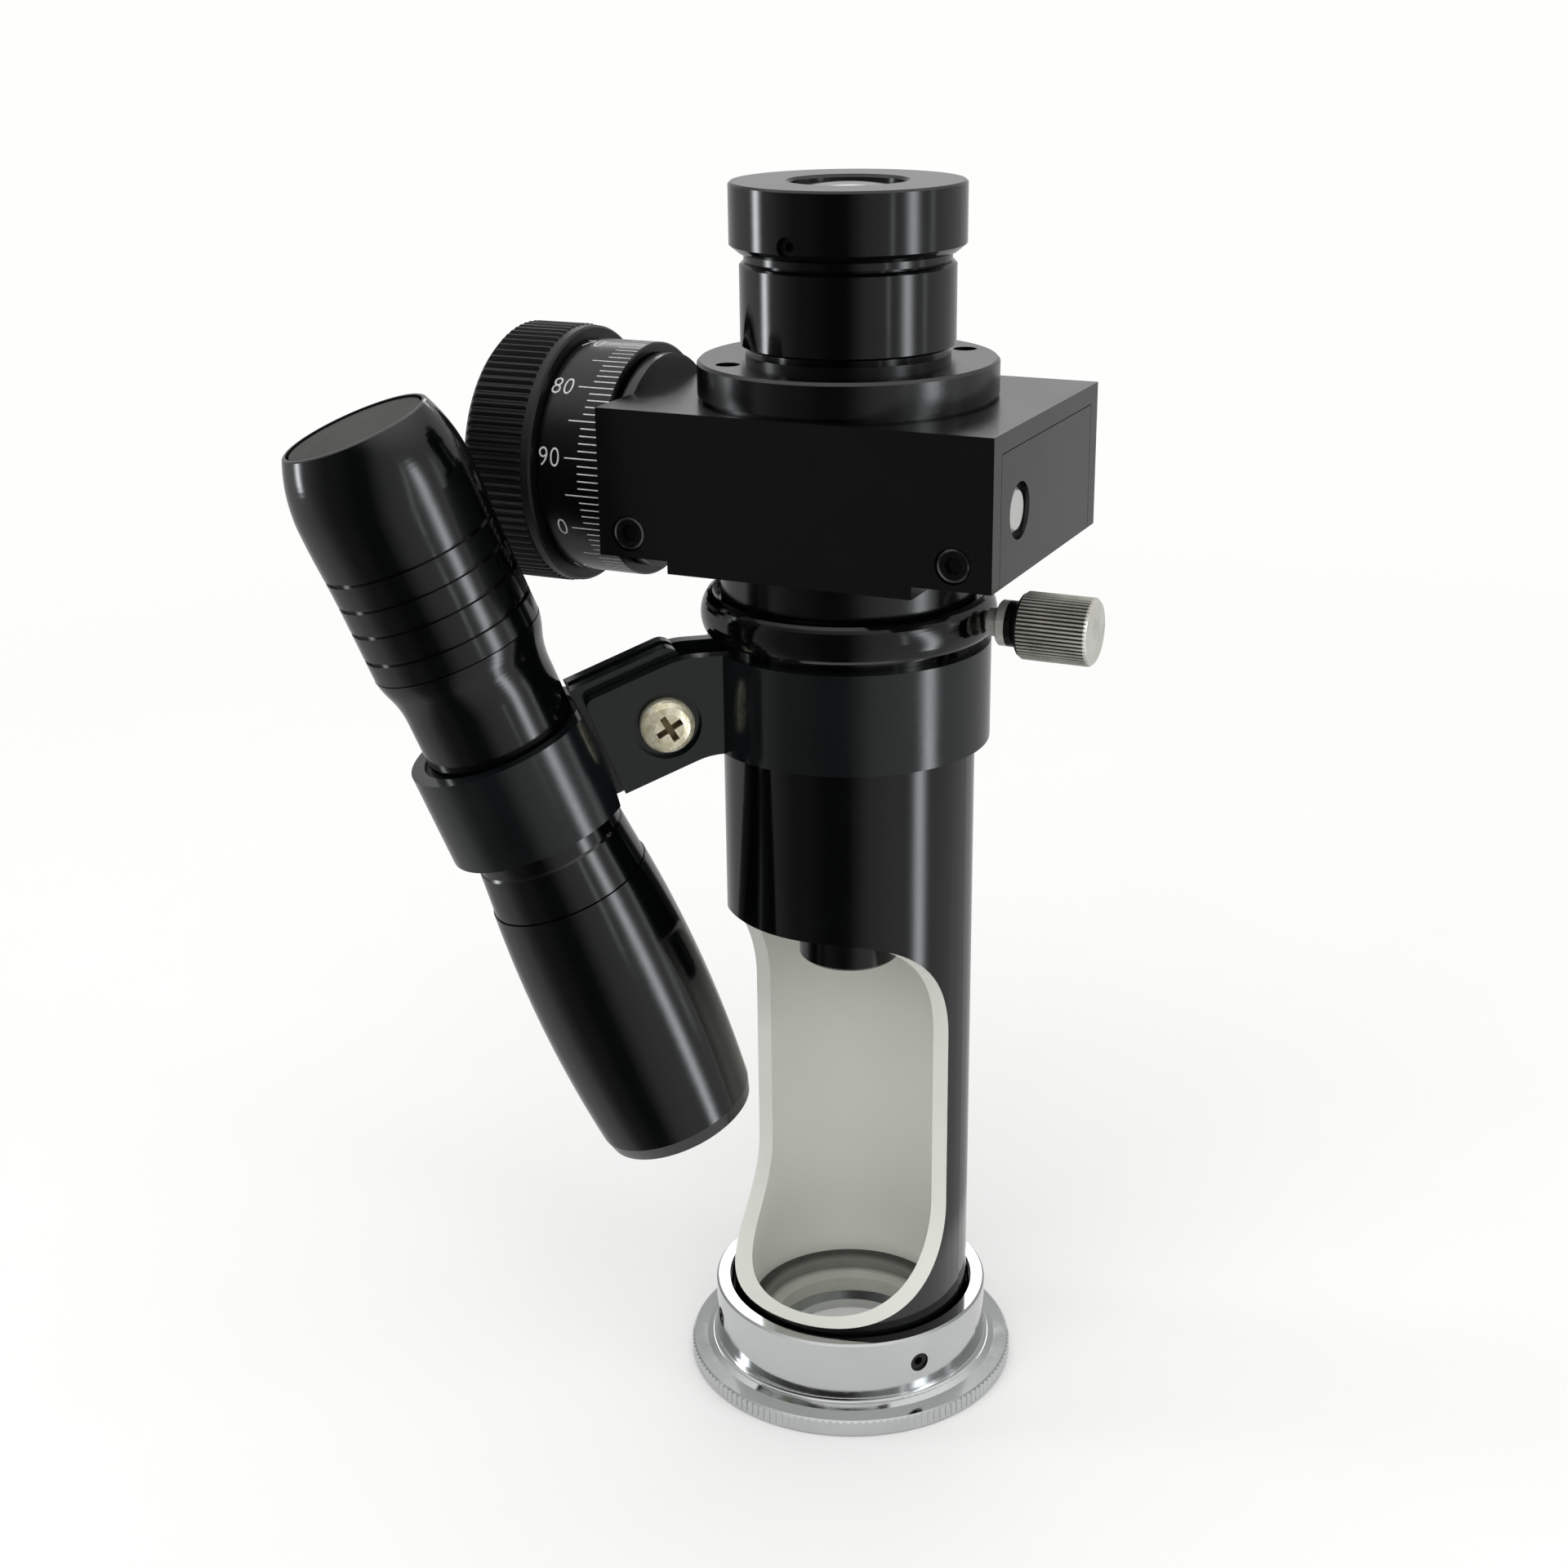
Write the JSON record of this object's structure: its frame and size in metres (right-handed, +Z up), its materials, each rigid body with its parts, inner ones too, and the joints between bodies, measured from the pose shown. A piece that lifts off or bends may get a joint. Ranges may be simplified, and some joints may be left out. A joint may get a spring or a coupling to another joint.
{
  "type": "measuring microscope",
  "caption": "Upright tube microscope with a windowed body, a round foot, a micrometer box with a graduated drum, a focusing eyepiece and a clamped torch.",
  "frame": {"origin": "centre of the foot's sight opening, in the plane of the table", "axes": "+Z up the tube and the optical axis, +X to the closed end of the micrometer box, with the window facing about -Y"},
  "size_m": [0.0961, 0.0745, 0.1744],
  "materials": {
    "foot_chrome": "polished",
    "screw_black": "black oxide",
    "stage_paint": "off-white paint",
    "tube_black": "gloss black outside, white inside",
    "gloss_black": "gloss",
    "satin_black": "satin",
    "drum_black": "satin with white graduations",
    "knob_black": "matte",
    "grey_aluminium": "machined",
    "nickel": "nickel plated",
    "bright_steel": "ground",
    "brass": "machined",
    "optical_glass": "clear",
    "clamp_grey": "satin blue-black",
    "champagne_screw": "zinc plated",
    "rubber_black": "matte",
    "torch_black": "gloss anodised",
    "torch_glass": "clear",
    "reflector": "mirror",
    "led_module": "machined",
    "cell_wrap": "shrink wrap",
    "grey_plastic": "moulded",
    "boot_grey": "matte"
  },
  "bodies": {
    "stand": {"foot_ring": "foot_chrome", "foot_set_screws": "screw_black", "stage_ring": "stage_paint", "main_tube": "tube_black", "lock_ring": "gloss_black"},
    "lock_feed": {"lock_pad": "brass"},
    "lock": {"lock_screw": "nickel", "lock_spacer": "screw_black", "lock_knob": "nickel"},
    "draw": {"draw_tube": "satin_black", "objective_mount": "satin_black", "objective_front_lens": "optical_glass", "objective_rear_lens": "optical_glass", "objective_retainer": "satin_black"},
    "head": {"neck_plate": "satin_black", "box_housing": "satin_black", "end_cover": "satin_black", "guide_rod": "bright_steel", "guide_pin": "bright_steel", "fixed_scale": "optical_glass", "scale_retainer": "satin_black", "bearing_bush": "brass", "index_sleeve": "satin_black", "eyepiece_disc": "satin_black", "box_screws": "screw_black"},
    "carriage": {"reticle_carriage": "grey_aluminium", "micrometer_nut": "brass", "moving_reticle": "optical_glass", "return_spring": "bright_steel"},
    "drum": {"micrometer_screw": "bright_steel", "graduated_drum": "drum_black", "drum_knob": "knob_black", "drum_nut": "bright_steel"},
    "lens_cell": {"field_lens": "optical_glass", "lens_spacer": "satin_black"},
    "eyepiece": {"eye_lens": "optical_glass", "eyepiece_barrel": "gloss_black", "eyepiece_cap": "gloss_black", "cap_set_screw": "screw_black"},
    "band": {"tube_strap": "clamp_grey", "clamp_screw": "champagne_screw", "clamp_nut": "nickel"},
    "lamp_holder": {"lamp_clamp": "clamp_grey", "lamp_sleeve": "rubber_black"},
    "torch": {"torch_head": "torch_black", "torch_body": "torch_black", "torch_tail_cap": "torch_black", "torch_window": "torch_glass", "torch_reflector": "reflector", "torch_led": "led_module", "torch_battery": "cell_wrap", "battery_spring": "bright_steel", "torch_seals": "rubber_black", "switch_module": "grey_plastic"},
    "button": {"switch_boot": "boot_grey"}
  },
  "joints": [
    {"name": "focus_slide", "type": "slide", "parent": "stand", "child": "draw", "axis": [0, 0, 1], "range_m": [0, 0.012]},
    {"name": "head_turn", "type": "hinge", "parent": "draw", "child": "head", "pos_m": [0, 0, 0.1253], "axis": [0, 0, 1], "range_deg": [-130, 0]},
    {"name": "drum_turn", "type": "hinge", "parent": "head", "child": "drum", "pos_m": [-0.03, 0, 0.1357], "axis": [1, 0, 0], "range_deg": [-1440, 1440]},
    {"name": "carriage_slide", "type": "slide", "parent": "head", "child": "carriage", "axis": [1, 0, 0], "range_m": [-0.00401, 0.00401], "deforming": ["return_spring"]},
    {"name": "eyepiece_travel", "type": "slide", "parent": "head", "child": "lens_cell", "axis": [0, 0, 1], "range_m": [-0.00076, 0.00201]},
    {"name": "eyepiece_turn", "type": "hinge", "parent": "lens_cell", "child": "eyepiece", "pos_m": [0, 0, 0.16], "axis": [0, 0, 1], "range_deg": [-270, 720]},
    {"name": "lock_feed", "type": "slide", "parent": "stand", "child": "lock_feed", "axis": [1, 0, 0], "range_m": [0, 0.0014]},
    {"name": "lock_turn", "type": "hinge", "parent": "lock_feed", "child": "lock", "pos_m": [0.03, 0, 0.11765], "axis": [1, 0, 0], "range_deg": [0, 722.5]},
    {"name": "band_turn", "type": "hinge", "parent": "stand", "child": "band", "pos_m": [0, 0, 0.1065], "axis": [0, 0, 1], "range_deg": [-3, 60]},
    {"name": "lamp_tilt", "type": "hinge", "parent": "band", "child": "lamp_holder", "pos_m": [-0.02096, -0.01638, 0.1043], "axis": [0.6157, -0.788, 0], "range_deg": [-6, 8]},
    {"name": "torch_slide", "type": "slide", "parent": "lamp_holder", "child": "torch", "axis": [-0.2824, -0.2206, 0.9336], "range_m": [-0.006, 0.0035]},
    {"name": "switch_press", "type": "slide", "parent": "torch", "child": "button", "axis": [0.2824, 0.2206, -0.9336], "range_m": [0, 0.0012], "stiffness_N_per_m": 600, "springref_m": -0.0005}
  ],
  "couplings": [
    {"joint": "carriage_slide", "follows": "drum_turn", "m_per_rad": -0.00015915},
    {"joint": "eyepiece_travel", "follows": "eyepiece_turn", "m_per_rad": 0.00015915},
    {"joint": "lock_turn", "follows": "lock_feed", "rad_per_m": 8976}
  ]
}
